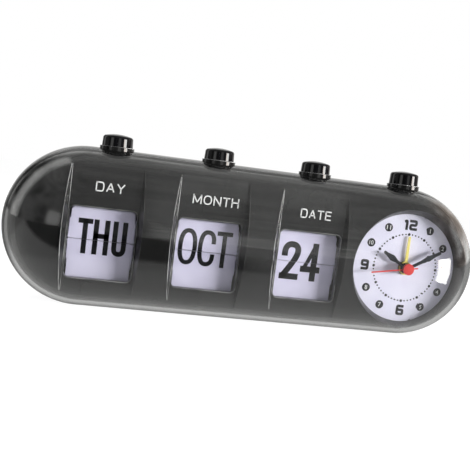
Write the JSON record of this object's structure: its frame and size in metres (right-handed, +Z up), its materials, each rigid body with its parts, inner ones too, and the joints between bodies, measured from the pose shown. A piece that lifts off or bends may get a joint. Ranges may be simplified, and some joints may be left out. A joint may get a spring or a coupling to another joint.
{
  "type": "flip clock",
  "caption": "Capsule desk clock with a clear front dome, push-to-advance flip-card calendars, a quartz alarm dial, and setting knobs, alarm switch and battery bay at the rear.",
  "frame": {"origin": "middle of the base flat, under the centre of the bounding box", "axes": "+X to the right seen from the front, along the capsule; +Y to the rear; +Z up"},
  "size_m": [0.209, 0.0675, 0.0735],
  "materials": {
    "housing_black": "polished black",
    "panel_black": "polished black",
    "cap_black": "polished black",
    "clear_dome": "clear, polished",
    "inner_black": "as moulded",
    "drum_grey": "as moulded",
    "card_white": "satin sheet",
    "steel": "plain",
    "brass": "plain",
    "dial_white": "satin white",
    "hand_dark": "satin dark",
    "hand_red": "satin red",
    "hand_yellow": "satin yellow",
    "knob_black": "as moulded",
    "switch_grey": "as moulded",
    "cell_wrap": "plain printed sleeve"
  },
  "bodies": {
    "case": {"rear_housing": "housing_black", "front_dome": "clear_dome", "front_panel": "panel_black", "button_rail": "inner_black", "rail_screws": "steel", "case_screws": "steel", "day_cage": "inner_black", "month_cage": "inner_black", "date_cage": "inner_black", "cage_screws": "steel", "day_shaft": "steel", "month_shaft": "steel", "date_shaft": "steel", "day_spring": "steel", "month_spring": "steel", "date_spring": "steel", "alarm_spring": "steel", "dial_plate": "dial_white", "movement_case": "inner_black", "alarm_contact": "brass", "buzzer": "brass", "battery": "cell_wrap", "battery_contacts": "steel"},
    "day_drum": {"day_drum": "drum_grey", "day_cards": "card_white"},
    "day_flip": {"day_flip_card": "card_white"},
    "day_button": {"day_button": "cap_black", "day_pusher": "inner_black"},
    "month_drum": {"month_drum": "drum_grey", "month_cards": "card_white"},
    "month_flip": {"month_flip_card": "card_white"},
    "month_button": {"month_button": "cap_black", "month_pusher": "inner_black"},
    "date_drum": {"date_drum": "drum_grey", "date_cards": "card_white"},
    "date_flip": {"date_flip_card": "card_white"},
    "date_button": {"date_button": "cap_black", "date_pusher": "inner_black"},
    "alarm_button": {"alarm_button": "cap_black", "alarm_pusher": "inner_black"},
    "time_knob": {"time_knob": "knob_black"},
    "minute_hand": {"minute_hand": "hand_dark", "minute_pipe": "brass"},
    "hour_hand": {"hour_hand": "hand_dark", "hour_pipe": "brass"},
    "alarm_knob": {"alarm_knob": "knob_black"},
    "alarm_hand": {"alarm_hand": "hand_yellow", "alarm_pipe": "brass"},
    "second_hand": {"second_hand": "hand_red", "second_arbor": "brass"},
    "alarm_switch": {"alarm_switch": "switch_grey"},
    "battery_door": {"battery_door": "housing_black"}
  },
  "joints": [
    {"name": "day_turn", "type": "hinge", "parent": "case", "child": "day_drum", "pos_m": [-0.0634, -0.0034, 0.02885], "axis": [1, 0, 0], "range_deg": [0, 12.86]},
    {"name": "day_flip", "type": "hinge", "parent": "day_drum", "child": "day_flip", "pos_m": [-0.0634, -0.01105, 0.02885], "axis": [1, 0, 0], "range_deg": [0, 167.14]},
    {"name": "day_press", "type": "slide", "parent": "case", "child": "day_button", "axis": [0, 0, -1], "range_m": [0, 0.0018], "stiffness_N_per_m": 250, "springref_m": -0.002, "deforming": ["day_spring"]},
    {"name": "month_turn", "type": "hinge", "parent": "case", "child": "month_drum", "pos_m": [-0.0194, -0.0034, 0.02885], "axis": [1, 0, 0], "range_deg": [0, 15]},
    {"name": "month_flip", "type": "hinge", "parent": "month_drum", "child": "month_flip", "pos_m": [-0.0194, -0.01105, 0.02885], "axis": [1, 0, 0], "range_deg": [0, 165]},
    {"name": "month_press", "type": "slide", "parent": "case", "child": "month_button", "axis": [0, 0, -1], "range_m": [0, 0.0018], "stiffness_N_per_m": 250, "springref_m": -0.002, "deforming": ["month_spring"]},
    {"name": "date_turn", "type": "hinge", "parent": "case", "child": "date_drum", "pos_m": [0.0246, -0.0034, 0.02885], "axis": [1, 0, 0], "range_deg": [0, 11.61]},
    {"name": "date_flip", "type": "hinge", "parent": "date_drum", "child": "date_flip", "pos_m": [0.0246, -0.01105, 0.02885], "axis": [1, 0, 0], "range_deg": [0, 168.39]},
    {"name": "date_press", "type": "slide", "parent": "case", "child": "date_button", "axis": [0, 0, -1], "range_m": [0, 0.0018], "stiffness_N_per_m": 250, "springref_m": -0.002, "deforming": ["date_spring"]},
    {"name": "alarm_press", "type": "slide", "parent": "case", "child": "alarm_button", "axis": [0, 0, -1], "range_m": [0, 0.0018], "stiffness_N_per_m": 250, "springref_m": -0.002, "deforming": ["alarm_spring"]},
    {"name": "time_knob_turn", "type": "hinge", "parent": "case", "child": "time_knob", "pos_m": [0.0633, 0.0129, 0.02935], "axis": [0, 1, 0], "continuous": true},
    {"name": "minute_turn", "type": "hinge", "parent": "case", "child": "minute_hand", "pos_m": [0.0713, -0.0102, 0.03035], "axis": [0, 1, 0], "continuous": true},
    {"name": "hour_turn", "type": "hinge", "parent": "case", "child": "hour_hand", "pos_m": [0.0713, -0.0102, 0.03035], "axis": [0, 1, 0], "continuous": true},
    {"name": "alarm_knob_turn", "type": "hinge", "parent": "case", "child": "alarm_knob", "pos_m": [0.0793, 0.0129, 0.02935], "axis": [0, 1, 0], "continuous": true},
    {"name": "alarm_hand_turn", "type": "hinge", "parent": "case", "child": "alarm_hand", "pos_m": [0.0713, -0.0102, 0.03035], "axis": [0, 1, 0], "continuous": true},
    {"name": "second_turn", "type": "hinge", "parent": "case", "child": "second_hand", "pos_m": [0.0713, -0.0102, 0.03035], "axis": [0, 1, 0], "continuous": true},
    {"name": "alarm_switch_slide", "type": "slide", "parent": "case", "child": "alarm_switch", "axis": [1, 0, 0], "range_m": [0, 0.004]},
    {"name": "battery_door_lift", "type": "slide", "parent": "case", "child": "battery_door", "axis": [0, 1, 0], "range_m": [0, 0.02]}
  ],
  "couplings": [
    {"joint": "day_turn", "follows": "day_press", "rad_per_m": 124.67},
    {"joint": "day_flip", "follows": "day_press", "rad_per_m": 1620.7},
    {"joint": "month_turn", "follows": "month_press", "rad_per_m": 145.44},
    {"joint": "month_flip", "follows": "month_press", "rad_per_m": 1599.9},
    {"joint": "date_turn", "follows": "date_press", "rad_per_m": 112.6},
    {"joint": "date_flip", "follows": "date_press", "rad_per_m": 1632.7},
    {"joint": "minute_turn", "follows": "time_knob_turn", "ratio": -1},
    {"joint": "hour_turn", "follows": "time_knob_turn", "ratio": -0.083333},
    {"joint": "alarm_hand_turn", "follows": "alarm_knob_turn", "ratio": -1}
  ]
}
